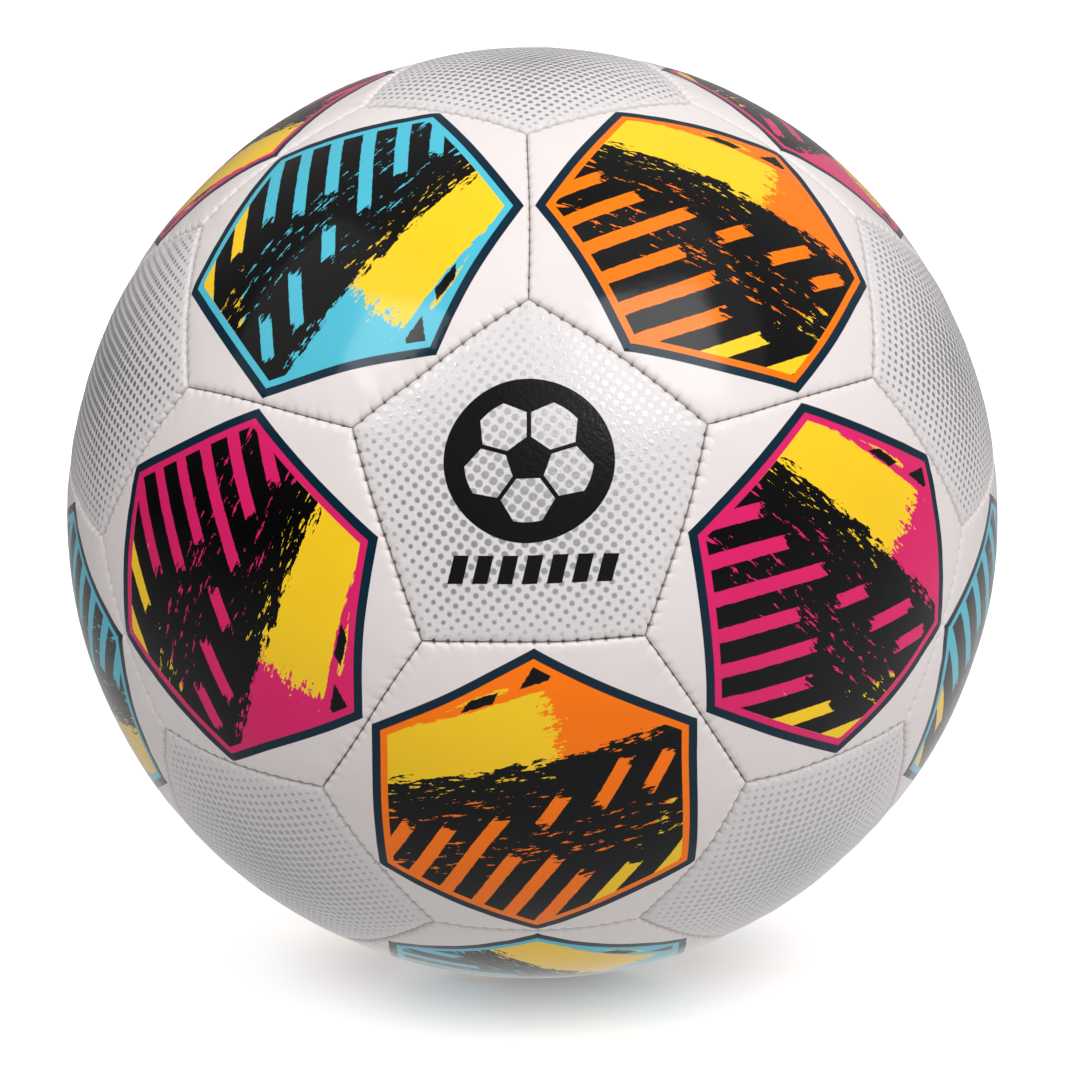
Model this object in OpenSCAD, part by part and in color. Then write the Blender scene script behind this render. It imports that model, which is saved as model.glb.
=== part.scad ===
// Stitched soccer ball: 12 pentagon and 20 hexagon panels sewn edge to edge
// over a rubber bladder with a needle valve. All lengths are in millimetres.
// Origin: centre of the ball. -Y faces the front pentagon, +Z is up.

/* [Ball] */
// outside diameter of the inflated ball
ball_diameter = 220; // [200:1:222]
// how far the axis of the front pentagon tips up from -Y, in degrees
front_tilt = 10.7; // [-45:0.1:45]

/* [Cover panels] */
// thickness of the coated outer skin
skin_thickness = 1.2; // [0.8:0.1:1.6]
// thickness of the seam allowance, the panel edge that is turned inwards
flange_thickness = 1.0; // [0.8:0.1:1.4]
// depth of the turned-in edge below the outer surface
flange_depth = 4.4; // [4:0.1:5]
// gap between the turned-in edges of two neighbouring panels
seam_gap = 0.1; // [0.06:0.02:0.3]
// radius by which a panel rolls over into the seam
edge_radius = 1.6; // [1:0.1:2]

/* [Padding] */
// thickness of the foam pad laminated under each panel
foam_thickness = 2.4; // [1.5:0.1:3]
// thickness of the woven lining under the foam
lining_thickness = 0.8; // [0.4:0.1:1.2]
// glue line between two layers
layer_gap = 0.05; // [0.02:0.01:0.1]
// clear channel for the thread, between a turned-in edge and the pad
thread_channel = 1.0; // [0.9:0.1:1.5]

/* [Stitching] */
// number of stitches along one seam
stitches = 15; // [11:2:15]
// width of the waxed thread where it lies flat along the seam
thread_width = 0.7; // [0.6:0.05:0.8]
// thickness of the waxed thread where it lies flat along the seam
thread_thickness = 0.55; // [0.4:0.05:0.6]
// radius of the thread where it crosses the seam
crossing_radius = 0.28; // [0.15:0.01:0.3]
// radius of the needle holes through the turned-in edges
hole_radius = 0.4; // [0.35:0.05:0.5]
// depth of the stitch line below the outer surface
stitch_depth = 2.9; // [2.7:0.1:3.2]

/* [Bladder and valve] */
// wall thickness of the bladder
bladder_thickness = 1.0; // [0.6:0.1:1.6]
// radius of the opening in the valve panel
valve_opening_radius = 3.2; // [3.1:0.1:4]
// outside radius of the neck of the valve housing
neck_radius = 3.0; // [2.7:0.1:3.0]
// radius of the housing flange bonded inside the bladder
housing_flange_radius = 11; // [8:0.5:16]
// thickness of the housing flange
housing_flange_thickness = 1.2; // [0.8:0.1:2]
// outside radius of the barrel inside the bladder
barrel_radius = 4.4; // [4:0.1:6]
// length of the barrel inside the bladder
barrel_length = 12; // [9:0.5:18]
// radius of the bore that takes the valve core
housing_bore_radius = 2.2; // [2.1:0.05:2.3]
// radius of the stem of the valve core
core_radius = 2.12; // [1.8:0.02:2.12]
// radius of the cap of the valve core
cap_radius = 2.9; // [2.5:0.1:3]
// thickness of the cap of the valve core
cap_thickness = 0.6; // [0.4:0.1:0.8]
// radius of the blind hole that takes the inflating needle
needle_radius = 1.05; // [0.8:0.05:1.2]
// depth of the needle hole
needle_depth = 10; // [6:0.5:11]

/* [Hidden] */
fine = 200;
round_fn = 32;
ball_radius = ball_diameter / 2;
reach = ball_radius + 10;
overcut = 0.6; // how far a needle hole runs past the turned-in edges
cutter_spare = 1; // how far any other cutter runs past what it cuts
roll_spare = 1; // degrees by which the edge's roll runs past the corners

// distances from the centre of a truncated icosahedron with edges of length 1
root5 = sqrt(5);
corner_distance = sqrt(58 + 18 * root5) / 4;
edge_distance = 3 * (1 + root5) / 4;
pentagon_distance = sqrt((125 + 41 * root5) / 10) / 2;
hexagon_distance = sqrt(3) * (3 + root5) / 4;

// angle at the ball's centre from the middle of a panel to the middle of its side
pentagon_tilt = acos(pentagon_distance / edge_distance);
hexagon_tilt = acos(hexagon_distance / edge_distance);
seam_angle = 2 * acos(edge_distance / corner_distance);

// angles from the front pentagon's axis to the rings of panels
pentagon_ring = atan(2);
hexagon_ring = acos(sqrt((5 + 2 * root5) / 15));
hexagon_belt = acos(sqrt((5 - 2 * root5) / 15));

// layers of the wall, from outside to inside
skin_inside = ball_radius - skin_thickness;
foam_outside = skin_inside - layer_gap;
foam_inside = foam_outside - foam_thickness;
lining_outside = foam_inside - layer_gap;
lining_inside = lining_outside - lining_thickness;
flange_inside = ball_radius - flange_depth;
bladder_outside = min(lining_inside, flange_inside) - layer_gap;
bladder_inside = bladder_outside - bladder_thickness;
pad_inset = seam_gap / 2 + flange_thickness + thread_channel;

// stitch line
stitch_ring = ball_radius - stitch_depth;
corner_room = 0.5; // plain seam at its two corners together, in stitches
stitch_step = seam_angle / (stitches + corner_room);
stitch_reach = (stitches - 1) / 2;
run_inset = seam_gap / 2 + flange_thickness + layer_gap;
run_tail = 0.2; // degrees from the last needle hole to the thread's end

// valve, measured along its axis from the ball's centre
cap_recess = 0.4; // how far the cap lies below the ball's surface
cap_top = ball_radius - cap_recess;
neck_top = cap_top - cap_thickness - layer_gap;
flange_top = bladder_inside - layer_gap;
barrel_end = flange_top - housing_flange_thickness - barrel_length;
core_recess = 1; // how far the core ends short of the barrel's end
core_end = barrel_end + core_recess;
core_taper = 0.5; // by how much the end of the core's stem narrows
lead_in = 0.5;
flange_cut = 4; // height of the cylinder that trims the housing's flange round
barrel_drop = 0.8; // how far the barrel's top lies below the flange's

// each place: [angle from the front axis, angle around it, turn of the panel]
turns = [0:72:288];
pentagon_places = concat(
    [[0, 270, 0]],
    [for (a = turns) [pentagon_ring, 90 + a, 0]],
    [for (a = turns) [180 - pentagon_ring, 54 + a, 180]],
    [[180, 90, 180]]
);
hexagon_places = concat(
    [for (a = turns) [hexagon_ring, 54 + a, 0]],
    [for (a = turns) [hexagon_belt, 54 + a, 0]],
    [for (a = turns) [180 - hexagon_belt, 90 + a, 0]],
    [for (a = turns) [180 - hexagon_ring, 90 + a, 0]]
);
// the sides of each hexagon that start a seam with another hexagon
hexagon_seams = [[30, 270], [210, 330], [270], [210]];
valve_panel = len(pentagon_places) - 1;

PENTAGON_NAMES = [for (i = [1:12]) str("pentagon_panel_", i)];
HEXAGON_NAMES = [for (i = [1:20]) str("hexagon_panel_", i)];

white = [0.93, 0.93, 0.94];
pearl = [0.80, 0.81, 0.83];
foam_cream = [0.93, 0.89, 0.74];
lining_grey = [0.86, 0.86, 0.84];
thread_grey = [0.72, 0.70, 0.66];
rubber_black = [0.08, 0.08, 0.09];
valve_grey = [0.25, 0.26, 0.28];

// turns the ball so that its front pentagon faces -Y and tips up
module ball_frame() {
    rotate([90 - front_tilt, 0, 0])
        children();
}

// carries +Z to a point of the sphere, with +Y towards the pole it is measured from
module at(polar, around, turn = 0) {
    rotate([0, 0, around + 90])
        rotate([polar, 0, 0])
            rotate([0, 0, turn])
                children();
}

module at_place(place) {
    at(place[0], place[1], place[2])
        children();
}

// carries +Z to the middle of one side of a panel, with +X along the seam
module at_side(sides, tilt, k) {
    at(tilt, 270 + k * 360 / sides)
        children();
}

// everything between the seam planes of a panel, held back by an inset
module between_seams(sides, tilt, inset) {
    intersection_for (k = [0:sides - 1])
        at_side(sides, tilt, k)
            translate([-reach, inset, 0])
                cube([2 * reach, reach, reach]);
}

// one layer of a panel between two radii
module layer(sides, tilt, outside, inside, inset) {
    difference() {
        intersection() {
            sphere(outside, $fn = fine);
            between_seams(sides, tilt, inset);
        }
        sphere(inside, $fn = fine);
    }
}

// what is cut away so that a panel's edge rolls over into the seam
module edge_roll() {
    half_roll = seam_angle / 2 + roll_spare;
    rotate([90, 0, 0])
        rotate([0, 0, 90 - half_roll])
            rotate_extrude(angle = 2 * half_roll, $fn = fine)
                difference() {
                    translate([ball_radius - edge_radius, -edge_radius])
                        square([edge_radius + cutter_spare, edge_radius]);
                    translate([ball_radius - edge_radius, -edge_radius - seam_gap / 2])
                        circle(edge_radius, $fn = round_fn);
                }
}

module stitch_positions() {
    for (i = [-stitch_reach:stitch_reach])
        rotate([0, i * stitch_step, 0])
            translate([0, 0, stitch_ring])
                rotate([90, 0, 0])
                    children();
}

module needle_holes() {
    stitch_positions()
        cylinder(h = 2 * (flange_thickness + overcut), r = hole_radius, center = true,
            $fn = round_fn);
}

// a skin with its edges turned in and pierced for the thread
module cover(sides, tilt) {
    difference() {
        layer(sides, tilt, ball_radius, flange_inside, seam_gap / 2);
        intersection() {
            sphere(skin_inside, $fn = fine);
            between_seams(sides, tilt, seam_gap / 2 + flange_thickness);
        }
        for (k = [0:sides - 1])
            at_side(sides, tilt, k) {
                edge_roll();
                needle_holes();
            }
    }
}

module valve_opening(radius) {
    cylinder(h = reach, r = radius, $fn = 2 * round_fn);
}

module pentagon_panel(i) {
    color(pearl)
        ball_frame()
            at_place(pentagon_places[i])
                difference() {
                    cover(5, pentagon_tilt);
                    if (i == valve_panel)
                        valve_opening(valve_opening_radius);
                }
}

module hexagon_panel(i) {
    color(white)
        ball_frame()
            at_place(hexagon_places[i])
                cover(6, hexagon_tilt);
}

module pentagon_layers(outside, inside) {
    for (i = [0:valve_panel])
        at_place(pentagon_places[i])
            difference() {
                layer(5, pentagon_tilt, outside, inside, pad_inset);
                if (i == valve_panel)
                    valve_opening(valve_opening_radius);
            }
}

module hexagon_layers(outside, inside) {
    for (place = hexagon_places)
        at_place(place)
            layer(6, hexagon_tilt, outside, inside, pad_inset);
}

module pentagon_foam() {
    color(foam_cream)
        ball_frame()
            pentagon_layers(foam_outside, foam_inside);
}

module hexagon_foam() {
    color(foam_cream)
        ball_frame()
            hexagon_layers(foam_outside, foam_inside);
}

module pentagon_lining() {
    color(lining_grey)
        ball_frame()
            pentagon_layers(lining_outside, lining_inside);
}

module hexagon_lining() {
    color(lining_grey)
        ball_frame()
            hexagon_layers(lining_outside, lining_inside);
}

// the two runs of thread along a seam and the crossings through the needle holes
module seam_thread() {
    half_run = stitch_reach * stitch_step + run_tail;
    half_width = thread_width / 2;
    for (side = [0, 1])
        rotate([90, 0, 0])
            rotate([0, 0, 90 - half_run])
                rotate_extrude(angle = 2 * half_run, $fn = fine)
                    translate([stitch_ring, 0])
                        mirror([0, side])
                            translate([0, run_inset])
                                polygon([
                                    [-half_width, 0],
                                    [half_width, 0],
                                    [half_width, thread_thickness / 2],
                                    [half_width / 2, thread_thickness],
                                    [-half_width / 2, thread_thickness],
                                    [-half_width, thread_thickness / 2]
                                ]);
    stitch_positions()
        cylinder(h = 2 * run_inset + thread_thickness, r = crossing_radius, center = true,
            $fn = round_fn);
}

// the seams round the sides of a run of pentagons
module pentagon_seam_threads(first, last) {
    color(thread_grey)
        ball_frame()
            for (i = [first:last])
                at_place(pentagon_places[i])
                    for (k = [0:4])
                        at_side(5, pentagon_tilt, k)
                            seam_thread();
}

module front_seam_thread() {
    pentagon_seam_threads(0, 5);
}

module back_seam_thread() {
    pentagon_seam_threads(6, valve_panel);
}

// the seams between two hexagons
module hexagon_seam_thread() {
    color(thread_grey)
        ball_frame()
            for (i = [0:len(hexagon_places) - 1])
                at_place(hexagon_places[i])
                    for (around = hexagon_seams[floor(i / 5)])
                        at(hexagon_tilt, around)
                            seam_thread();
}

// carries +Z to the axis of the valve, pointing out of the ball
module valve_frame() {
    ball_frame()
        at_place(pentagon_places[valve_panel])
            children();
}

module bladder() {
    color(rubber_black)
        valve_frame()
            difference() {
                sphere(bladder_outside, $fn = fine);
                sphere(bladder_inside, $fn = fine);
                valve_opening(neck_radius + layer_gap);
            }
}

module valve_housing() {
    color(valve_grey)
        valve_frame()
            difference() {
                union() {
                    intersection() {
                        sphere(flange_top, $fn = fine);
                        translate([0, 0, flange_top - flange_cut])
                            cylinder(h = flange_cut + cutter_spare, r = housing_flange_radius,
                                $fn = 2 * round_fn);
                        difference() {
                            cube(2 * reach, center = true);
                            sphere(flange_top - housing_flange_thickness, $fn = fine);
                        }
                    }
                    translate([0, 0, barrel_end])
                        cylinder(h = flange_top - barrel_drop - barrel_end, r = barrel_radius,
                            $fn = 2 * round_fn);
                    translate([0, 0, barrel_end])
                        cylinder(h = neck_top - barrel_end, r = neck_radius,
                            $fn = 2 * round_fn);
                }
                translate([0, 0, barrel_end - cutter_spare])
                    cylinder(h = reach, r = housing_bore_radius, $fn = 2 * round_fn);
            }
}

module valve_core() {
    stem_top = cap_top - cap_thickness;
    needle_end = cap_top - needle_depth;
    color(valve_grey)
        valve_frame()
            rotate_extrude($fn = 2 * round_fn)
                polygon([
                    [0, core_end],
                    [core_radius - core_taper, core_end],
                    [core_radius, core_end + 2 * core_taper],
                    [core_radius, stem_top],
                    [cap_radius, stem_top],
                    [cap_radius, cap_top],
                    [needle_radius + lead_in, cap_top],
                    [needle_radius, cap_top - lead_in],
                    [needle_radius, needle_end],
                    [0, needle_end]
                ]);
}

for (i = [0:11])
    pentagon_panel(i);
for (i = [0:19])
    hexagon_panel(i);
pentagon_foam();
hexagon_foam();
pentagon_lining();
hexagon_lining();
front_seam_thread();
back_seam_thread();
hexagon_seam_thread();
bladder();
valve_housing();
valve_core();
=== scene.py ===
import math

import bpy
import numpy as np
from mathutils import Matrix, Vector


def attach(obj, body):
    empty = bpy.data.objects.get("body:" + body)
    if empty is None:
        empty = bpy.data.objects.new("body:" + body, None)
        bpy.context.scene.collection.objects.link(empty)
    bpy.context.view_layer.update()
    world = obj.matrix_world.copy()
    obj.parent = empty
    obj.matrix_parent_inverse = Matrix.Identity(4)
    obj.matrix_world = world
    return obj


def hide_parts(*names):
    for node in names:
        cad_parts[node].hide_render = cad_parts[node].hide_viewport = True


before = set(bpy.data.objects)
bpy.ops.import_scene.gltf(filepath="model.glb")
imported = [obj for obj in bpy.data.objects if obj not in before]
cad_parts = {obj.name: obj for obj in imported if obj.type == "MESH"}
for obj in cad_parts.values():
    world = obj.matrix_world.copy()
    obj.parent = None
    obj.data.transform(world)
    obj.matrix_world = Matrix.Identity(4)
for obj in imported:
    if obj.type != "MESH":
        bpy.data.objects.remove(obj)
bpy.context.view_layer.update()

# ---------------------------------------------------------------- geometry of the ball
MM = 0.001
RADIUS = 110.0                      # millimetres, like every length down to the meshes
FRONT_TILT = 10.7                   # degrees by which the front pentagon looks up
# the truncated icosahedron with edges of 1: how far its corners and its edges' middles lie out
ROOT5 = math.sqrt(5)
CORNER = math.sqrt(58 + 18 * ROOT5) / 4
EDGE = 3 * (1 + ROOT5) / 4
# degrees from a panel's centre to the middle of a side, and from there to a corner
PENTAGON_TILT = math.degrees(math.acos(math.sqrt((125 + 41 * ROOT5) / 10) / 2 / EDGE))
HEXAGON_TILT = math.degrees(math.acos(math.sqrt(3) * (3 + ROOT5) / 4 / EDGE))
HALF_SEAM = math.degrees(math.acos(EDGE / CORNER))
# degrees from the front panel's centre to the centres of each ring of panels
PENTAGON_RING = math.degrees(math.atan(2))
HEXAGON_RING = math.degrees(math.acos(math.sqrt((5 + 2 * ROOT5) / 15)))
HEXAGON_BELT = math.degrees(math.acos(math.sqrt((5 - 2 * ROOT5) / 15)))
STITCHES = 15
STEP = 2 * HALF_SEAM / (STITCHES + 0.5)      # degrees from one stitch to the next
FIRST_SIDE = 270                    # where the first side of a panel lies, in degrees round its centre

# every panel's place: degrees from the front pole, degrees round it, and its own turn
TURNS = [72 * k for k in range(5)]
PENTAGONS = (
    [(0, 270, 0)]
    + [(PENTAGON_RING, 90 + a, 0) for a in TURNS]
    + [(180 - PENTAGON_RING, 54 + a, 180) for a in TURNS]
    + [(180, 90, 180)]
)
HEXAGONS = (
    [(HEXAGON_RING, 54 + a, 0) for a in TURNS]
    + [(HEXAGON_BELT, 54 + a, 0) for a in TURNS]
    + [(180 - HEXAGON_BELT, 90 + a, 0) for a in TURNS]
    + [(180 - HEXAGON_RING, 90 + a, 0) for a in TURNS]
)
# the sides of a hexagon that start a seam with another hexagon, ring by ring
HEXAGON_SEAMS = [(30, 270), (210, 330), (270,), (210,)]
# the colour of each hexagon's print and how far the print is turned, in degrees
PRINTS = [
    ("orange", 180), ("blue", 0), ("magenta", 300), ("orange", 0), ("magenta", 240),
    ("magenta", 60), ("magenta", 300), ("blue", 240), ("blue", 300), ("blue", 180),
    ("blue", 120), ("orange", 60), ("magenta", 180), ("orange", 240), ("orange", 0),
    ("orange", 300), ("magenta", 120), ("blue", 0), ("magenta", 60), ("blue", 240),
]
# how many fifths of a turn each pentagon's dot grid is turned
DOT_TURNS = [0, 0, 4, 0, 0, 0, 1, 4, 0, 3, 2, 1]
VALVE_PANEL = 11
VALVE_OPENING = 3.2                 # radius


def rot_x(degrees):
    return np.array(Matrix.Rotation(math.radians(degrees), 3, "X"))


def rot_z(degrees):
    return np.array(Matrix.Rotation(math.radians(degrees), 3, "Z"))


def at(polar, around, turn=0):
    """Carries +Z to a point of the sphere, with +Y towards the pole it is measured from."""
    return rot_z(around + 90) @ rot_x(polar) @ rot_z(turn)


BALL = rot_x(90 - FRONT_TILT)
VALVE_WAY = BALL @ np.array([0, 0, -1.0])


def on_sphere(reach, phi):
    """Unit directions at an angle from +Z and an angle round it."""
    return np.stack([np.sin(reach) * np.cos(phi), np.sin(reach) * np.sin(phi), np.cos(reach)], 1)


def seam_line(degrees):
    """Unit directions along a seam whose middle is +Z."""
    sigma = np.radians(degrees)
    return np.stack([np.sin(sigma), 0 * sigma, np.cos(sigma)], 1)


def outline(tilt, sides, degrees):
    """How far the seams round a panel lie from its centre, and in which direction, in radians."""
    line = seam_line(degrees)
    way = np.concatenate([line @ at(tilt, FIRST_SIDE + k * 360 / sides).T for k in range(sides)])
    return np.arccos(way[:, 2]), np.arctan2(way[:, 1], way[:, 0])


# ---------------------------------------------------------------- the unevenness of sewn leather
def waves(seed, count, shortest, longest, height):
    """A smooth random field over space: a sum of plane waves with lengths in millimetres."""
    rng = np.random.default_rng(seed)
    way = rng.normal(size=(count, 3))
    way /= np.linalg.norm(way, axis=1)[:, None]
    k = 2 * np.pi / rng.uniform(shortest, longest, count)
    phase = rng.uniform(0, 2 * np.pi, count)
    size = height * np.sqrt(2 / count)
    return lambda p: size * np.sin(p @ (way * k[:, None]).T + phase).sum(1)


SIDEWAYS = [waves(10 + i, 7, 24, 60, 0.22) for i in range(3)]
SWELL = waves(20, 9, 22, 55, 0.07)
SWELL_ROOM = 0.07                   # set back by this, the swelling stays inside the ball's size
PUCKER = waves(30, 9, 5, 11, 0.035)
VALVE_CALM = 14                     # round the valve, within about this distance, nothing drifts


def settle(points, depth, near):
    """Puts points of the unit sphere at their depth, drifting a little; near a seam they pucker."""
    p = points * RADIUS
    drift = np.stack([f(p) for f in SIDEWAYS], 1)
    drift -= (drift * points).sum(1)[:, None] * points
    from_valve = ((points - VALVE_WAY) ** 2).sum(1) * (RADIUS / VALVE_CALM) ** 2
    drift *= 1 - np.exp(-from_valve)[:, None]
    r = RADIUS - depth + SWELL(p) - SWELL_ROOM + PUCKER(p) * near
    q = p + drift
    return q / np.linalg.norm(q, axis=1)[:, None] * r[:, None]


# ---------------------------------------------------------------- meshes from rings of points
def bridge(first, second, n):
    """Quads between two rings of n points, given where each ring starts."""
    i = np.arange(n)
    j = (i + 1) % n
    return np.stack([first + i, second + i, second + j, first + j], 1)


def fan(tip, ring, n, flip=False):
    """Triangles from a point to a ring of n points."""
    i = np.arange(n)
    j = (i + 1) % n
    near, far = (j, i) if flip else (i, j)
    return np.stack([np.full(n, tip), ring + near, ring + far], 1)


def add_piece(name, verts, faces, materials, node, face_slots=None, flat=None):
    """A smooth piece from points in millimetres and arrays of faces, in place of a CAD node."""
    loops = np.concatenate([part.ravel() for part in faces]).astype(np.int32)
    totals = np.concatenate([np.full(len(part), part.shape[1]) for part in faces]).astype(np.int32)
    mesh = bpy.data.meshes.new(name)
    mesh.vertices.add(len(verts))
    mesh.vertices.foreach_set("co", (verts * MM).astype(np.float32).ravel())
    mesh.loops.add(len(loops))
    mesh.loops.foreach_set("vertex_index", loops)
    mesh.polygons.add(len(totals))
    mesh.polygons.foreach_set("loop_start", (np.cumsum(totals) - totals).astype(np.int32))
    mesh.polygons.foreach_set("loop_total", totals)
    if face_slots is not None:
        mesh.polygons.foreach_set("material_index", face_slots.astype(np.int32))
    if flat is not None:
        mesh.uv_layers.new(name="panel").data.foreach_set("uv", flat[loops].astype(np.float32).ravel())
    mesh.update(calc_edges=True)
    mesh.validate()
    mesh.polygons.foreach_set("use_smooth", np.ones(len(totals), bool))
    for material in materials:
        mesh.materials.append(material)
    obj = bpy.data.objects.new(name, mesh)
    bpy.context.scene.collection.objects.link(obj)
    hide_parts(node)
    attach(obj, "root")
    return obj


# ---------------------------------------------------------------- panel meshes
# where a skin's columns stand along a side, in stitches from its middle: close together at the holes
CORNER_AT = (STITCHES + 0.5) / 2
LAST_STITCH = STITCHES // 2
AROUND_A_HOLE = (-0.5, -0.3, -0.17, -0.08, 0, 0.08, 0.17, 0.3)
BY_THE_CORNER = 0.12
COLUMNS = np.array(
    [-CORNER_AT, BY_THE_CORNER - CORNER_AT]
    + [k + o for k in range(-LAST_STITCH, LAST_STITCH + 1) for o in AROUND_A_HOLE]
    + [STITCHES / 2, CORNER_AT - BY_THE_CORNER]
)
ROLL = 1.0                          # radius by which an edge rolls into its seam
FLANGE = 4.4                        # depth to which an edge is turned in
FLANGE_THICKNESS = 1.0
SKIN = 1.2
INNER_FACE = SKIN + 0.2             # depth of a skin's inner face, clear of the outer one's dips
FILLET = (0.5, 0.45)                # depths below the skin where the flange turns into that face
FILLET_WIDTH = 1.0
FLANGE_MIDDLE = 0.62                # share of the flange's depth at which a row of points lies
# half the gap of a seam: between stitches, and how much more at a hole
OPEN_GAP, TIGHT_GAP = (0.05, 0.36), (0.03, 0.16)
GAP_NOISE, GAP_FADE = 0.05, 0.9
STITCH_STRENGTH = (0.7, 1.25)
HOLE_REACH, PULL_REACH = 0.27, 0.65          # along the seam, from a stitch
# the outer surface near a seam, as (depth, distance over which it fades)
BROAD_DIP = (0.27, 5.5)
SHORT_TUG, LONG_TUG = (0.24, 0.8), (0.05, 2.4)
VALVE_RIM = (0.35, 0.5)
# where the rings of points lie: shares of the way in from the seams to the centre, then distances
VALVE_SHARES = (1, 0.99, 0.98, 0.965)
FIELD_SHARES = (0.94, 0.87, 0.78, 0.69, 0.6, 0.5, 0.4, 0.31, 0.24)
NEAR_DISTANCES = (5.2, 3.9, 2.9, 2.2, 1.7)
ROLL_ANGLES = (80, 68, 56, 45, 35, 26, 17, 8, 0)
INNER_SHARES = (0.25, 0.5, 0.75)
UV_SIZE = 100.0                     # millimetres across the whole of the panel's flat coordinates
FACE, BACK = 0, 1                   # a skin's two material slots


def bell(distance, reach):
    return np.exp(-((distance / reach) ** 2))


def sewn_side(rng, is_open):
    """The gap and the stitches' pull along one side of a skin."""
    number = np.clip(np.round(COLUMNS), -LAST_STITCH, LAST_STITCH)
    off = (COLUMNS - number) * math.radians(STEP) * RADIUS      # distance to the nearest stitch
    strength = rng.uniform(*STITCH_STRENGTH, STITCHES)[(number + LAST_STITCH).astype(int)]
    uneven = rng.uniform(0, GAP_NOISE, len(COLUMNS))
    between, at_hole = OPEN_GAP if is_open else TIGHT_GAP
    return between + uneven + at_hole * strength * bell(off, HOLE_REACH), strength * bell(off, PULL_REACH)


def panel(name, place, sides, tilt, uv_turn, open_sides, hole, seed, materials, node):
    """One skin with its edges rolled over and turned in, as a closed mesh."""
    rng = np.random.default_rng(seed)
    gap, pull = (np.concatenate(x) for x in zip(*[sewn_side(rng, is_open) for is_open in open_sides]))
    rho, phi = outline(tilt, sides, COLUMNS * STEP)
    n = len(rho)
    start = hole / RADIUS
    span = math.radians(tilt) * RADIUS - hole           # from a seam's middle to the hole or the centre

    def outer_depth(d):
        """The outer surface: a broad dip towards the seam, the roll, and the stitches' pull."""
        broad = BROAD_DIP[0] * math.exp(-d / BROAD_DIP[1])
        roll = ROLL - math.sqrt(max(0, ROLL ** 2 - max(0, ROLL - d) ** 2))
        return broad + roll + sum(depth * pull * bell(d, reach) for depth, reach in (SHORT_TUG, LONG_TUG))

    # each ring: its distance from the seams, its depth, how much it puckers, and its material
    rings = []
    for share in (VALVE_SHARES if hole else ()) + FIELD_SHARES:
        rim = VALVE_RIM[0] * bell(span * (1 - share), VALVE_RIM[1]) if hole else 0
        rings.append((span * share, outer_depth(span * share) + rim, 0.0, FACE))
    for d in NEAR_DISTANCES + tuple(ROLL * (1 - math.cos(math.radians(angle))) for angle in ROLL_ANGLES):
        rings.append((d, outer_depth(d), 1.0, FACE))
    rings += [
        (0.0, FLANGE * FLANGE_MIDDLE, 0.5, BACK),
        (0.0, FLANGE, 0.0, BACK),
        (FLANGE_THICKNESS, FLANGE, 0.0, BACK),
        (FLANGE_THICKNESS, SKIN + FILLET[0], 0.0, BACK),
        (FLANGE_THICKNESS + FILLET_WIDTH, SKIN + FILLET[1], 0.0, BACK),
    ]
    rings += [(span * share, INNER_FACE, 0.0, BACK) for share in INNER_SHARES + ((1,) if hole else ())]

    turn = BALL @ at(*place)
    c, s = math.cos(math.radians(-uv_turn)), math.sin(math.radians(-uv_turn))
    verts, flat = [], []
    for d, depth, near, _ in rings:
        inward = d + gap * np.exp(-d / GAP_FADE) * (d < span)
        reach = start + (rho - start) * (1 - inward / span)
        verts.append(settle(on_sphere(reach, phi) @ turn.T, depth, near))
        arc = np.stack([reach * np.cos(phi), reach * np.sin(phi)], 1) * RADIUS
        flat.append(arc @ np.array([[c, s], [-s, c]]) / UV_SIZE + 0.5)
    count = len(rings)
    quads = [bridge(r * n, (r + 1) * n, n) for r in range(count - 1)]
    face_slots = [np.full(n, ring[3]) for ring in rings[1:]]
    if hole:
        quads.append(bridge((count - 1) * n, 0, n))
        face_slots.append(np.full(n, BACK))
        tris = []
    else:
        verts += [settle(turn[:, 2][None], depth, 0.0) for depth in (0.0, INNER_FACE)]
        flat += [[[0.5, 0.5]]] * 2
        tris = [fan(count * n, 0, n), fan(count * n + 1, (count - 1) * n, n, flip=True)]
        face_slots += [np.full(n, FACE), np.full(n, BACK)]
    add_piece(name, np.concatenate(verts), quads + tris, materials, node,
              np.concatenate(face_slots), np.concatenate(flat))


# ---------------------------------------------------------------- shader arithmetic
def linear(r, g, b):
    """An sRGB colour, 0 to 255, as the linear one that shaders use."""
    def one(v):
        v /= 255
        return v / 12.92 if v <= 0.04045 else ((v + 0.055) / 1.055) ** 2.4
    return (one(r), one(g), one(b), 1.0)


class Sum:
    """A number inside a shader, with ordinary arithmetic."""

    def __init__(self, tree, socket):
        self.tree, self.socket = tree, socket

    def do(self, operation, *others, clamp=False):
        node = self.tree.nodes.new("ShaderNodeMath")
        node.operation = operation
        node.use_clamp = clamp
        for slot, value in zip(node.inputs, (self,) + others):
            if isinstance(value, Sum):
                self.tree.links.new(value.socket, slot)
            else:
                slot.default_value = value
        return Sum(self.tree, node.outputs[0])

    def __add__(self, o): return self.do("ADD", o)
    def __radd__(self, o): return self.do("ADD", o)
    def __sub__(self, o): return self.do("SUBTRACT", o)
    def __rsub__(self, o): return self.do("MULTIPLY_ADD", -1.0, o)
    def __mul__(self, o): return self.do("MULTIPLY", o)
    def __rmul__(self, o): return self.do("MULTIPLY", o)
    def __truediv__(self, o): return self.do("DIVIDE", o)
    def __abs__(self): return self.do("ABSOLUTE")


def low(a, b): return b if a is None else a.do("MINIMUM", b)


def high(a, b): return b if a is None else a.do("MAXIMUM", b)


def length(x, y): return (x * x + y * y).do("SQRT")


def inside(distance, soft=0.12):
    """1 where a signed distance is negative, 0 outside, over a thin soft edge."""
    return distance.do("MULTIPLY_ADD", -1.0 / soft, 0.5, clamp=True)


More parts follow.
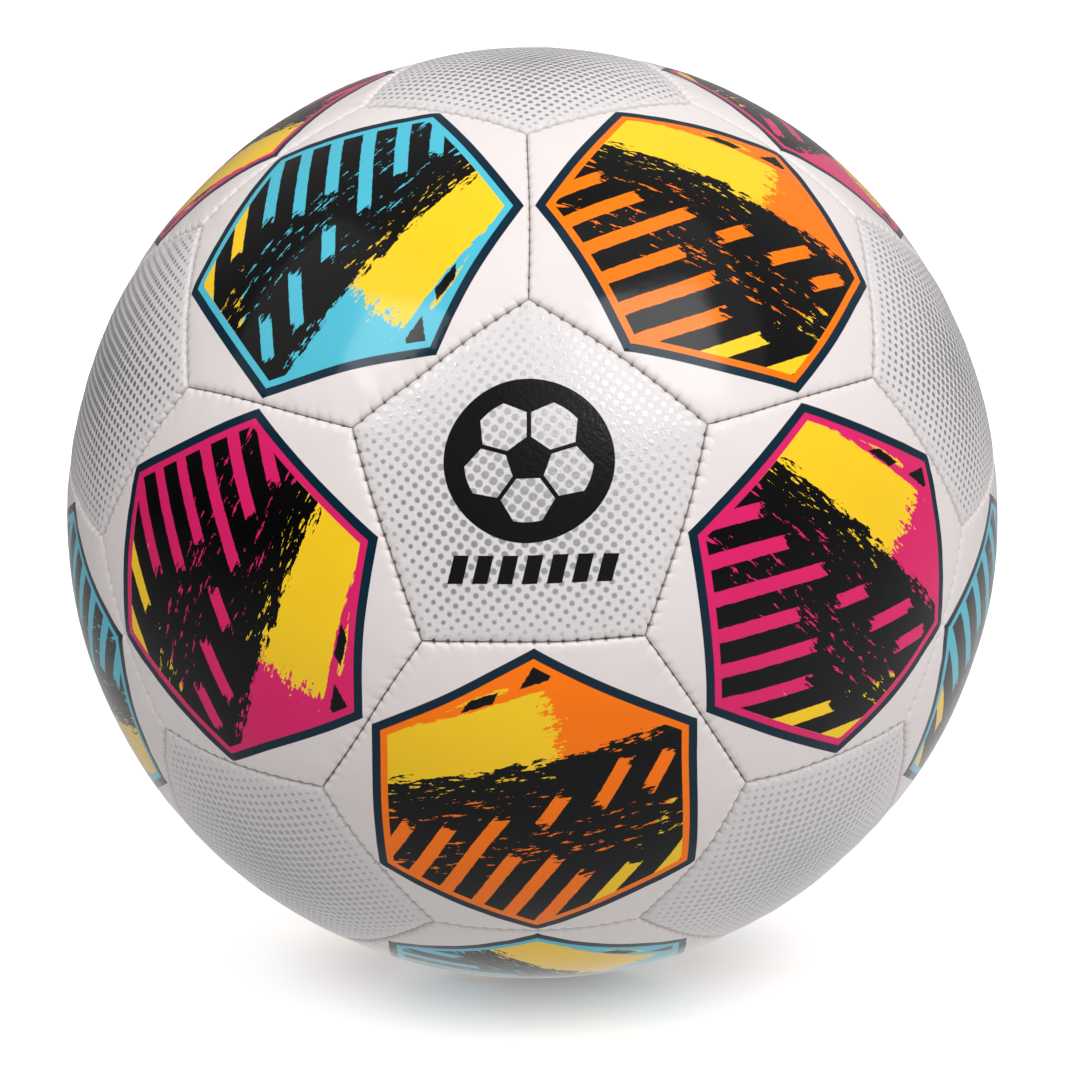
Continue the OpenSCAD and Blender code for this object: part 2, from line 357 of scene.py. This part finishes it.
class Shader:
    """A material and short ways to add nodes to it."""

    def __init__(self, name):
        self.material = bpy.data.materials.new(name)
        self.material.use_nodes = True
        self.tree = self.material.node_tree
        self.bsdf = self.tree.nodes["Principled BSDF"]

    def node(self, kind, **values):
        node = self.tree.nodes.new(kind)
        for key, value in values.items():
            setattr(node, key, value)
        return node

    def link(self, value, slot):
        if isinstance(value, Sum):
            value = value.socket
        if isinstance(value, bpy.types.NodeSocket):
            self.tree.links.new(value, slot)
        else:
            slot.default_value = value

    def millimetres(self):
        """The panel's own flat coordinates, in millimetres from its centre."""
        uv = self.node("ShaderNodeUVMap", uv_map="panel")
        return [(part - 0.5) * UV_SIZE for part in self.split(uv.outputs[0])[:2]]

    def split(self, vector):
        node = self.node("ShaderNodeSeparateXYZ")
        self.link(vector, node.inputs[0])
        return [Sum(self.tree, out) for out in node.outputs]

    def vector(self, x, y, z=0.0):
        join = self.node("ShaderNodeCombineXYZ")
        for value, slot in zip((x, y, z), join.inputs):
            self.link(value, slot)
        return join.outputs[0]

    def noise(self, vector, scale=1.0, detail=3.0, rough=0.55):
        node = self.node("ShaderNodeTexNoise")
        self.link(vector, node.inputs["Vector"])
        node.inputs["Scale"].default_value = scale
        node.inputs["Detail"].default_value = detail
        node.inputs["Roughness"].default_value = rough
        return Sum(self.tree, node.outputs[0])

    def place(self):
        """The position on the object, in metres."""
        return self.node("ShaderNodeTexCoord").outputs["Object"]

    def mix(self, share, a, b):
        node = self.node("ShaderNodeMix", data_type="RGBA")
        self.link(share, node.inputs["Factor"])
        self.link(a, node.inputs[6])
        self.link(b, node.inputs[7])
        return node.outputs[2]

    def bump(self, height, distance, strength=1.0, normal=None):
        node = self.node("ShaderNodeBump")
        node.inputs["Strength"].default_value = strength
        node.inputs["Distance"].default_value = distance
        self.link(height, node.inputs["Height"])
        if normal is not None:
            self.link(normal, node.inputs["Normal"])
        return node.outputs["Normal"]

    def set(self, **values):
        for key, value in values.items():
            self.link(value, self.bsdf.inputs[key.replace("_", " ")])


# ---------------------------------------------------------------- coated leather
NAVY = linear(4, 36, 52)
INK_BLACK = linear(4, 3, 3)
YELLOW = linear(243, 198, 34)
COLOURS = {
    "orange": linear(250, 117, 2),
    "blue": linear(76, 182, 204),
    "magenta": linear(214, 32, 101),
}
WHITE = (linear(224, 216, 215), linear(218, 210, 208))
PEARL = (linear(216, 210, 210), linear(209, 204, 204))
SILVER = linear(176, 176, 179)
COAT_SPECULAR = 0.18
FILM_SPECULAR = 0.2

# the print on a hexagon, from its middle: the art, a rim in the print's own colour, and a navy border
ART_EDGE, RIM_EDGE, BORDER_EDGE = 30.4, 31.9, 33.8
BAR_PITCH, FIRST_GAP, HALF_GAP = 7.7, -12.9, 1.55
NEVER = 50
# where each gap between the bars ends, and where it opens again from and to
GAP_ENDS = [(-17, NEVER, NEVER), (-12.5, NEVER, NEVER), (-4.5, NEVER, NEVER), (-12, -1.5, 6),
            (-8.5, 7.5, 20), (-10, 15.5, 25), (-4, NEVER, NEVER), (6, NEVER, NEVER)]
END_RANGE = 60.0                    # the ramp's colours hold -END_RANGE to END_RANGE

# the dots of a pentagon
DOT_PITCH, DOT_SLANT = 2.04, math.radians(52.8)
DOT_RADIUS, DOT_EDGE, DOT_FADE = 0.9, 29.6, 3.0
HALF_PENTAGON = 31.6
DOT_METAL = 0.9
# the sign: its centre, its disc and ball, the ball's dark pentagon, its seams and its dark corners
SIGN_AT, SIGN_SQUEEZE = (-0.6, 4.4), 1.045
DISC, SIGN_BALL, SIGN_PENTAGON, SIGN_SEAM = 16.8, 12.6, 3.9, 0.45
SIGN_CORNER, CORNER_LEAN = 9.4, 0.45
# the row of slanted dashes under it
DASH_DOWN, DASH_LEAN, DASH_PITCH = 16.8, 0.28, 5.0
HALF_DASH, HALF_DASH_HEIGHT, HALF_DASH_ROW = 1.55, 2.8, 17.5
PEBBLES = 1700                      # to the metre


def coated(sh, place, whites):
    """White coated leather: a faint cloudiness, so that it isn't one flat colour."""
    return sh.mix(sh.noise(place, 26, 3), *whites)


def gap_ends(sh, index):
    """The three ends of the gap with this index, looked up in a ramp of constant steps."""
    ramp = sh.node("ShaderNodeValToRGB")
    ramp.color_ramp.interpolation = "CONSTANT"
    elements = ramp.color_ramp.elements
    while len(elements) < len(GAP_ENDS):
        elements.new(0.5)
    for i, ends in enumerate(GAP_ENDS):
        elements[i].position = i / len(GAP_ENDS)
        elements[i].color = tuple((end + END_RANGE) / (2 * END_RANGE) for end in ends) + (1,)
    sh.link((index + 1.5) / len(GAP_ENDS), ramp.inputs[0])
    parts = sh.node("ShaderNodeSeparateColor")
    sh.link(ramp.outputs[0], parts.inputs[0])
    return [Sum(sh.tree, parts.outputs[i]) * (2 * END_RANGE) - END_RANGE for i in range(3)]


def hexagon_material(name, colour):
    """White coated leather with a bordered hexagon of brushed paint and slanted bars.

    The plain numbers here are millimetres on the panel, cosines and sines, and weights of the noises.
    """
    sh = Shader(name)
    x, y = sh.millimetres()
    place = sh.place()
    # distances from the middle of the print to its sides, and across the slanted bars
    hexagon = high(abs(x), high(abs(x * 0.5 + y * 0.866), abs(x * 0.5 - y * 0.866)))
    across, along = x * 0.875 - y * 0.485, x * 0.485 + y * 0.875
    brush, over = x * 0.974 + y * 0.225, y * 0.974 - x * 0.225
    # bristle streaks: long, finer, and round blots
    streak = sh.noise(sh.vector(brush * 0.14, over * 0.66), 1, 4, 0.66) - 0.5
    bristle = sh.noise(sh.vector(brush * 0.42, over * 1.9, 4.0), 1, 3, 0.6) - 0.5
    blot = sh.noise(sh.vector(x * 0.5, y * 0.5, 9.0), 1, 4, 0.6) - 0.5
    rough = streak * 11.0 + bristle * 5.0 + blot * 4.0

    # slanted bars: gaps of colour between black bars, each gap with its own ends
    index = ((across - FIRST_GAP) / BAR_PITCH).do("ROUND")
    from_gap = abs(across - FIRST_GAP - index * BAR_PITCH)
    end, opens, closes = gap_ends(sh, index)
    beyond = low(along - end, high(opens - along, along - closes)) + streak * 9.0 + bristle * 5.0
    gap = high(from_gap - HALF_GAP + blot * 0.5, beyond)
    # scratches where the brush ran dry: under its upper edge on the left, and where the gaps end
    upper_left = high(abs(over - 7.0) - 5.0, brush - 6.0) / 6.0
    by_the_ends = (abs(over + 9.0) - 5.0) / 9.0
    zone = low(upper_left, by_the_ends + 0.12).do("MAXIMUM", 0.0)
    dry = zone * 0.28 + 0.115 - streak - bristle * 0.4 - blot * 0.25
    gap = low(gap, dry * 9.0)

    mass = over - 12.6 + rough                      # everything under the brush's upper edge
    black = high(mass, 0.0 - gap)
    # the yellow sweep above it and the yellow ground at the lower right
    sweep_top = (y - x * 0.352 - 29.4) * 0.943
    ragged_end = brush - 8.5 + streak * 13.0 + blot * 13.0 + bristle * 5.0
    sweep = high(sweep_top + bristle * 2.0, ragged_end)
    slash = high(abs(sweep_top - 2.3) - 0.45 + bristle * 2.4, brush - 2.0)
    sweep = high(low(sweep, slash), 6.0 - over + rough * 0.6)
    ground = high(21.6 - across + streak * 14.0, over + 4.0)
    yellow = low(sweep, ground)
    # two dark chips between the sweep and the border
    chip1 = high(abs(across + 15.0) - 2.1, 1.6 - sweep_top)
    chip2 = high(abs(across + 22.6) - 2.3, abs(sweep_top - 1.5) - 1.0)
    black = low(black, low(chip1, chip2) + blot * 1.2)

    art = inside(hexagon - ART_EDGE)
    ink = sh.mix(inside(yellow) * art, colour, YELLOW)
    ink = sh.mix(inside(black) * art, ink, INK_BLACK)
    ink = sh.mix(inside(RIM_EDGE - hexagon), ink, NAVY)
    shade = sh.node("ShaderNodeHueSaturation")
    sh.link(ink, shade.inputs["Color"])
    sh.link(sh.noise(place, 45, 3) * 0.16 + 0.92, shade.inputs["Value"])
    printed = inside(hexagon - BORDER_EDGE)
    sh.set(Base_Color=sh.mix(printed, coated(sh, place, WHITE), shade.outputs[0]))
    # gloss, with faint orange peel and the print's edge just felt through the coat
    sh.set(Roughness=sh.noise(place, 35, 3) * 0.08 + 0.09)
    sh.bsdf.inputs["Specular IOR Level"].default_value = COAT_SPECULAR
    peel = sh.noise(place, 420, 3) * 0.6 + sh.noise(place, 130, 2)
    normal = sh.bump(peel, 0.00006, 0.5)
    sh.set(Normal=sh.bump(printed, 0.00003, 0.5, normal))
    return sh.material


def fifths(start):
    """The five directions of a pentagon, as cosine and sine."""
    return [(math.cos(a), math.sin(a)) for a in (math.radians(start + 72 * k) for k in range(5))]


def sign(x, y):
    """The black parts of the front panel: a plain ball sign in a disc, and dashes under it."""
    cx, cy = x - SIGN_AT[0], (y - SIGN_AT[1]) * SIGN_SQUEEZE
    r = length(cx, cy)
    # a pale ball with a dark pentagon, five seams and five dark corners
    five, seams, corners = None, None, None
    for (side_x, side_y), (way_x, way_y) in zip(fifths(270), fifths(90)):
        out = cx * way_x + cy * way_y
        off = abs(cx * way_y - cy * way_x)
        five = high(five, cx * side_x + cy * side_y)
        seams = low(seams, high(off - SIGN_SEAM, 0.0 - out))
        corners = low(corners, high(SIGN_CORNER - out + off * CORNER_LEAN, 0.0 - out))
    dark = low(low(five - SIGN_PENTAGON, seams), corners)
    pale = high(r - SIGN_BALL, 0.0 - dark)
    up = y + DASH_DOWN
    dx = x - up * DASH_LEAN
    cell = dx / DASH_PITCH - (dx / DASH_PITCH).do("ROUND")
    dash = high(high(abs(cell * DASH_PITCH) - HALF_DASH, abs(up) - HALF_DASH_HEIGHT), abs(dx) - HALF_DASH_ROW)
    return low(high(r - DISC, 0.0 - pale), dash)


def pentagon_material(name, emblem=False):
    """White leather with a fine emboss and a grid of silver dots that fades to the seams."""
    sh = Shader(name)
    x, y = sh.millimetres()
    place = sh.place()
    c, s = math.cos(DOT_SLANT) / DOT_PITCH, math.sin(DOT_SLANT) / DOT_PITCH
    u, v = x * c + y * s, y * c - x * s
    from_dot = length(u - u.do("ROUND"), v - v.do("ROUND")) * DOT_PITCH
    to_side = None
    for side_x, side_y in fifths(270):
        to_side = high(to_side, x * side_x + y * side_y)
    # the dots shrink with the share of the way out to a side
    share = (to_side / HALF_PENTAGON).do("MAXIMUM", 0.0)
    shrink = share * 0.34 + share * share * 0.18
    dot = inside(from_dot + shrink - DOT_RADIUS, 0.2) * inside(to_side - DOT_EDGE, DOT_FADE)
    base = sh.mix(dot, coated(sh, place, PEARL), SILVER)
    metal = dot * DOT_METAL
    if emblem:
        black = inside(sign(x, y))
        base = sh.mix(black, base, INK_BLACK)
        metal = metal * (1.0 - black)
    sh.set(Base_Color=base, Metallic=metal)
    sh.set(Roughness=sh.noise(place, 50, 3) * 0.1 + metal * 0.24 + 0.18)
    sh.bsdf.inputs["Specular IOR Level"].default_value = FILM_SPECULAR
    grain = sh.node("ShaderNodeTexVoronoi", feature="SMOOTH_F1")
    grain.inputs["Scale"].default_value = PEBBLES
    sh.link(place, grain.inputs["Vector"])
    pebble = sh.bump(grain.outputs["Distance"], 0.0001, 0.45)
    sh.set(Normal=sh.bump(dot, 0.00002, 0.5, pebble))
    return sh.material


# ---------------------------------------------------------------- the other stuffs
def plain_material(name, colour, other, scale, roughness, depth, weave=0):
    """A matte or satin stuff with a mottled colour and a grain or weave that is felt."""
    sh = Shader(name)
    place = sh.place()
    grain = sh.noise(place, scale, 4)
    sh.set(Base_Color=sh.mix(grain, linear(*colour), linear(*other)), Roughness=grain * 0.15 + roughness)
    height = grain
    if weave:
        bands = []
        for direction in "XZ":
            wave = sh.node("ShaderNodeTexWave", wave_type="BANDS", bands_direction=direction)
            wave.inputs["Scale"].default_value = weave
            wave.inputs["Distortion"].default_value = 0.6
            sh.link(place, wave.inputs["Vector"])
            bands.append(Sum(sh.tree, wave.outputs["Fac"]))
        height = grain * 0.4 + bands[0] * bands[1]
    sh.set(Normal=sh.bump(height, depth, 0.7))
    return sh.material


MATERIALS = {name: hexagon_material(f"hexagon_cover_{name}", colour) for name, colour in COLOURS.items()}
DOTTED = pentagon_material("pentagon_cover")
EMBLEM = pentagon_material("pentagon_cover_emblem", emblem=True)
BACKING = plain_material("cloth_backing", (222, 218, 208), (204, 198, 188), 900, 0.75, 0.00008, weave=500)
THREAD = plain_material("waxed_thread", (196, 186, 168), (160, 148, 130), 1500, 0.55, 0.00006)
FOAM = plain_material("foam", (240, 228, 196), (226, 212, 178), 1400, 0.8, 0.0001)
RUBBER = plain_material("bladder_rubber", (30, 30, 32), (46, 45, 46), 260, 0.42, 0.00005)
VALVE = plain_material("valve_rubber", (38, 38, 40), (56, 55, 56), 700, 0.40, 0.00004)

# ---------------------------------------------------------------- the panels
for i, place in enumerate(PENTAGONS):
    hole = VALVE_OPENING if i == VALVE_PANEL else 0
    panel(f"pentagon_cover_{i + 1}", place, 5, PENTAGON_TILT, 72 * DOT_TURNS[i], [True] * 5, hole, 100 + i,
          [DOTTED if i else EMBLEM, BACKING], f"pentagon_panel_{i + 1}")
for i, place in enumerate(HEXAGONS):
    # every other side meets a pentagon, and its seam stands more open
    meets_hexagon = {side % 120 for side in HEXAGON_SEAMS[i // 5]}
    open_sides = [(FIRST_SIDE + 60 * k) % 120 not in meets_hexagon for k in range(6)]
    colour, turned_by = PRINTS[i]
    panel(f"hexagon_cover_{i + 1}", place, 6, HEXAGON_TILT, turned_by, open_sides, 0, 200 + i,
          [MATERIALS[colour], BACKING], f"hexagon_panel_{i + 1}")


# ---------------------------------------------------------------- seam threads
THREAD_RADIUS, THREAD_SIDES = 0.24, 8
THREAD_DEPTH = 1.9                  # of the upper tube in a needle hole
THREAD_SWAY = 0.16                  # to either side of the seam, between the holes
THREAD_JITTER = 0.03
POINTS_PER_STITCH = 8


def threads(name, seams, node, seed):
    """Lockstitched thread: two tubes a seam that swap between the surface and the depth."""
    rng = np.random.default_rng(seed)
    count = (STITCHES - 1) * POINTS_PER_STITCH + 1
    t = np.linspace(-(STITCHES - 1) / 2, (STITCHES - 1) / 2, count)      # in stitches
    wave = 0.5 + 0.5 * np.cos(2 * np.pi * t)                             # 1 in a needle hole
    around = np.linspace(0, 2 * np.pi, THREAD_SIDES, endpoint=False)[None, :, None]
    cap = np.arange(THREAD_SIDES)[None]
    verts, quads, caps = [], [], []
    for seam in seams:
        # each tube: how much deeper it dips between the holes, how deep it starts, and its side
        for dip, drop, sway in ((0.7, 0, -THREAD_SWAY), (1.1, 0.35, THREAD_SWAY)):
            depth = THREAD_DEPTH + dip * (1 - wave) + drop
            side = sway * np.sin(2 * np.pi * t) + rng.uniform(-THREAD_JITTER, THREAD_JITTER)
            unit = seam_line(t * STEP)
            unit[:, 1] = side / RADIUS
            unit = unit @ (BALL @ seam).T
            unit /= np.linalg.norm(unit, axis=1)[:, None]
            line = settle(unit, depth, 0.0)
            along = np.gradient(line, axis=0)
            along /= np.linalg.norm(along, axis=1)[:, None]
            out = unit - (unit * along).sum(1)[:, None] * along
            out /= np.linalg.norm(out, axis=1)[:, None]
            across = np.cross(along, out)
            tube = np.cos(around) * out[:, None] + np.sin(around) * across[:, None]
            base = len(verts) * count * THREAD_SIDES
            verts.append((line[:, None] + THREAD_RADIUS * tube).reshape(-1, 3))
            ring = base + THREAD_SIDES * np.arange(count)
            quads += [bridge(r, q, THREAD_SIDES)[:, ::-1] for r, q in zip(ring, ring[1:])]
            caps += [ring[0] + cap[:, ::-1], ring[-1] + cap]
    add_piece(name, np.concatenate(verts), quads + caps, [THREAD], node)


def pentagon_seams(places):
    return [at(*place) @ at(PENTAGON_TILT, FIRST_SIDE + 72 * k) for place in places for k in range(5)]


hexagon_seams = [at(*place) @ at(HEXAGON_TILT, side)
                 for i, place in enumerate(HEXAGONS) for side in HEXAGON_SEAMS[i // 5]]
threads("front_thread", pentagon_seams(PENTAGONS[:6]), "front_seam_thread", 1)
threads("back_thread", pentagon_seams(PENTAGONS[6:]), "back_seam_thread", 2)
threads("hexagon_thread", hexagon_seams, "hexagon_seam_thread", 3)

# ---------------------------------------------------------------- the valve
BORE = 1.05                         # radius of the needle hole
BORE_DEPTH = 10.0
BARREL = 2.12
CAP_TOP = RADIUS - 0.4
CORE_BOTTOM = 88.6                  # from the ball's centre
VALVE_STEPS = 72
# the core's outline as (radius, height): its barrel from below, the rounded cap, a ring in it, the bore
CORE_OUTLINE = (
    [(1.6, CORE_BOTTOM), (2.0, CORE_BOTTOM + 0.4), (BARREL, CORE_BOTTOM + 1.0)]
    + [(r, CAP_TOP - down) for r, down in (
        (BARREL, 0.7), (2.2, 0.6), (2.75, 0.58), (2.88, 0.48), (2.9, 0.3), (2.84, 0.12), (2.7, 0.02),
        (2.3, 0), (2.2, 0.05), (2.05, 0.05), (1.95, 0), (1.7, 0), (1.45, 0.06), (1.2, 0.25),
        (BORE + 0.01, 0.5), (BORE, 1.0), (BORE, BORE_DEPTH - 0.1), (0.9, BORE_DEPTH))]
)


def turned(name, outline_points, node):
    """A solid turned about the valve's axis, closed at both ends."""
    turn = BALL @ at(*PENTAGONS[VALVE_PANEL])
    a = np.linspace(0, 2 * np.pi, VALVE_STEPS, endpoint=False)
    verts = np.concatenate([np.stack([r * np.cos(a), r * np.sin(a), np.full(VALVE_STEPS, z)], 1)
                            for r, z in outline_points])
    rings = VALVE_STEPS * np.arange(len(outline_points))
    disc = np.arange(VALVE_STEPS)[None]
    quads = [bridge(r, q, VALVE_STEPS)[:, ::-1] for r, q in zip(rings, rings[1:])]
    add_piece(name, verts @ turn.T, quads + [disc[:, ::-1], rings[-1] + disc], [VALVE], node)


turned("needle_valve_core", CORE_OUTLINE, "valve_core")

# ---------------------------------------------------------------- the pads under the skins
PAD_INSET = 2.05                    # from the middle of a seam to a pad's edge
PAD_COLUMNS = np.linspace(-HALF_SEAM, HALF_SEAM, 13)[:-1]
PAD_SHARES = (0.25, 0.5, 0.75, 0.9)
PAD_ROUND = np.radians((0, 30, 60, 90))
# depths of the outer and the inner face, and the radius that rounds the edge between them
FOAM_LAYER = (1.75, 3.6, 0.6)
LINING_LAYER = (3.67, 4.4, 0.2)


def pads(name, node, places, sides, tilt, layer, material):
    """A layer under every panel of one kind: crowned pads with rounded edges, as one piece."""
    outer, inner, rounding = layer
    span = math.radians(tilt) * RADIUS
    rho, phi = outline(tilt, sides, PAD_COLUMNS)
    n = len(rho)
    # (distance in from the pad's edge, depth): down the outside, round the edge, back along the inside
    corner = [(rounding * (1 - math.sin(a)), rounding * (1 - math.cos(a))) for a in PAD_ROUND]
    field = [span * share - PAD_INSET for share in PAD_SHARES]
    rings = [(d, outer) for d in field[::-1]] + [(d, outer + z) for d, z in corner]
    rings += [(d, inner - z) for d, z in corner[::-1]] + [(d, inner) for d in field]
    verts, faces = [], []
    for place in places:
        turn = BALL @ at(*place)
        hole = VALVE_OPENING / RADIUS if place is PENTAGONS[VALVE_PANEL] else 0
        base = sum(len(v) for v in verts)
        for d, depth in rings:
            reach = hole + (rho - hole) * (1 - (PAD_INSET + d) / span)
            verts.append(settle(on_sphere(reach, phi) @ turn.T, depth, 0.0))
        ends = [base + r * n for r in range(len(rings))]
        if hole:
            for depth in (inner, outer):
                verts.append(settle(on_sphere(np.full(n, hole), phi) @ turn.T, depth, 0.0))
            ends += [base + len(rings) * n, base + (len(rings) + 1) * n, base]
        else:
            verts += [settle(turn[:, 2][None], depth, 0.0) for depth in (outer, inner)]
            tip = base + len(rings) * n
            faces += [fan(tip, base, n), fan(tip + 1, ends[-1], n, flip=True)]
        faces += [bridge(r, q, n) for r, q in zip(ends, ends[1:])]
    return add_piece(name, np.concatenate(verts), faces, [material], node)


for kind, places, sides, tilt in (("pentagon", PENTAGONS, 5, PENTAGON_TILT),
                                  ("hexagon", HEXAGONS, 6, HEXAGON_TILT)):
    foam = pads(f"{kind}_foam_pads", f"{kind}_foam", places, sides, tilt, FOAM_LAYER, FOAM)
    pads(f"{kind}_cloth_lining", f"{kind}_lining", places, sides, tilt, LINING_LAYER, BACKING)

# ---------------------------------------------------------------- the rubber inside
for name, material in {"bladder": RUBBER, "valve_housing": VALVE}.items():
    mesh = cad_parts[name].data
    mesh.materials.clear()
    mesh.materials.append(material)

# ---------------------------------------------------------------- floor and backdrop, in metres
GROUND = -RADIUS * MM
STUDIO_RADIUS, STUDIO_HEIGHT, STUDIO_SIDES = 3.5, 5, 48
FLOOR_ALBEDO, BACKDROP_ALBEDO = 0.3, 0.5
# the floor's glow, which paints a contact shadow: dim at the contact, more round the ball, more far away;
# each from a distance, over a width
PAINTED_SHADOW_GLOW, ROUND_GLOW, FAR_GLOW = 0.22, 0.62, 0.7
PAINTED_SHADOW_FROM, PAINTED_SHADOW_OVER, PAINTED_SHADOW_SOFT = 0.012, 0.055, 0.3
FAR_FROM, FAR_OVER = 0.6, 1.0


def stage_piece(name, verts, faces, glow, albedo):
    """Part of the white studio. It glows, so that it stays white where the soft shadow thins out; on the
    floor the glow is dimmed under the ball as a painted contact shadow.
    """
    sh = Shader(name)
    paper = sh.mix(sh.noise(sh.place(), 3, 2), (albedo,) * 3 + (1,), (albedo + 0.02,) * 3 + (1,))
    sh.set(Base_Color=paper, Roughness=0.95, Emission_Color=(1, 1, 1, 1), Emission_Strength=glow(sh))
    sh.bsdf.inputs["Specular IOR Level"].default_value = 0.0
    mesh = bpy.data.meshes.new(name)
    mesh.from_pydata(verts, [], faces)
    mesh.materials.append(sh.material)
    obj = bpy.data.objects.new(name, mesh)
    bpy.context.scene.collection.objects.link(obj)
    obj.visible_glossy = obj.visible_diffuse = False
    return obj


def floor_glow_painted_shadow(sh):
    """Painted contact shadow: dim under the ball and bright round it, on top of the real shadows that the
    lamps cast on the floor.
    """
    x, y, _ = sh.split(sh.place())
    away = length(x, y)
    # the painted contact shadow: the glow rises from its dim level under the ball to full round it
    near = ((away - PAINTED_SHADOW_FROM) / PAINTED_SHADOW_OVER).do("SMOOTH_MIN", 1.0, PAINTED_SHADOW_SOFT).do("MAXIMUM", 0.0)
    far = ((away - FAR_FROM) / FAR_OVER).do("MAXIMUM", 0.0).do("MINIMUM", 1.0)
    return near * ROUND_GLOW + PAINTED_SHADOW_GLOW + far * FAR_GLOW


rim = [(STUDIO_RADIUS * math.cos(a), STUDIO_RADIUS * math.sin(a))
       for a in np.linspace(0, 2 * math.pi, STUDIO_SIDES, endpoint=False)]
bottom = list(range(STUDIO_SIDES))
top = list(range(STUDIO_SIDES, 2 * STUDIO_SIDES))
stage_piece("studio_floor", [(x, y, GROUND) for x, y in rim], [bottom], floor_glow_painted_shadow, FLOOR_ALBEDO)
walls = [(x, y, GROUND + z) for z in (-0.01, STUDIO_HEIGHT) for x, y in rim]
panes = [[bottom[i - 1], bottom[i], top[i], top[i - 1]] for i in range(STUDIO_SIDES)]
backdrop = stage_piece("studio_backdrop", walls, panes + [top], lambda sh: 1.0, BACKDROP_ALBEDO)
backdrop.visible_shadow = False

# ---------------------------------------------------------------- lights, in metres
# each softbox: its place, its width and height, and its radiance; all face the ball
SOFTBOXES = {
    "key_box": ((0.79, -1.07, 1.14), (0.85, 0.85), 5.7),
    "key_glow": ((0.8, -1.3, 1.7), (2.6, 2.4), 0.66),
    "left_box": ((-0.85, -0.95, 1.2), (0.6, 0.6), 7.0),
    "left_glow": ((-1.5, -0.7, 1.5), (1.6, 1.6), 0.7),
    "front_fill": ((0.1, -2.0, 0.35), (2.0, 1.6), 0.3),
    "back_fill": ((0.0, 3.0, 0.5), (1.6, 1.1), 4.5),
}
for name, (where, size, radiance) in SOFTBOXES.items():
    light = bpy.data.lights.new(name, "AREA")
    light.shape = "RECTANGLE"
    light.size, light.size_y = size
    light.energy = radiance * math.pi * size[0] * size[1]
    softbox = bpy.data.objects.new(name, light)
    bpy.context.scene.collection.objects.link(softbox)
    softbox.location = where
    softbox.rotation_euler = (-Vector(where)).to_track_quat("-Z", "Y").to_euler()
    softbox.visible_camera = False
    # the fill behind the ball would rim it with gloss
    softbox.visible_glossy = name != "back_fill"

# the room: its glow all round, more to the right, more from above, and more from below the horizon
ROOM_GLOW, RIGHT_GLOW, CEILING_GLOW, LOW_GLOW, LOW_SLOPE = 0.24, 0.18, 0.35, 0.5, 2.5
world = bpy.data.worlds.new("studio")
bpy.context.scene.world = world
world.use_nodes = True
room = world.node_tree
way = room.nodes.new("ShaderNodeSeparateXYZ")
room.links.new(room.nodes.new("ShaderNodeTexCoord").outputs["Generated"], way.inputs[0])
sideways, lift = Sum(room, way.outputs[0]), Sum(room, way.outputs[2])
ceiling, below = lift.do("MAXIMUM", 0.0), (lift * -LOW_SLOPE).do("MAXIMUM", 0.0).do("MINIMUM", 1.0)
level = sideways * RIGHT_GLOW + ROOM_GLOW + ceiling * CEILING_GLOW + below * LOW_GLOW
room.links.new(level.socket, room.nodes["Background"].inputs["Color"])

# ---------------------------------------------------------------- camera
# it looks down a little; the ball's centre lies just above and left of its axis
LOOK_DOWN = math.radians(FRONT_TILT - 2.72)
TWIST = math.radians(0.64)
FOCAL_WIDTHS = 2501 / 1067          # focal length in picture widths
SENSOR_MM = 36
DISTANCE, SHIFT_X, SHIFT_Y = 5.461, -0.0025, 0.0439      # in ball radii
forward = Vector((0, math.cos(LOOK_DOWN), -math.sin(LOOK_DOWN)))
up = Vector((0, math.sin(LOOK_DOWN), math.cos(LOOK_DOWN)))
right = forward.cross(up)
up, right = (up * math.cos(TWIST) + right * math.sin(TWIST),
             right * math.cos(TWIST) - up * math.sin(TWIST))
camera_data = bpy.data.cameras.new("camera")
camera_data.sensor_width = SENSOR_MM
camera_data.lens = SENSOR_MM * FOCAL_WIDTHS
camera_data.clip_start = 0.01
camera = bpy.data.objects.new("camera", camera_data)
bpy.context.scene.collection.objects.link(camera)
camera.matrix_world = Matrix.Translation(
    -(forward * DISTANCE + right * SHIFT_X + up * SHIFT_Y) * RADIUS * MM
) @ Matrix((right, up, -forward)).transposed().to_4x4()
bpy.context.scene.camera = camera
bpy.context.scene.view_settings.view_transform = "Standard"
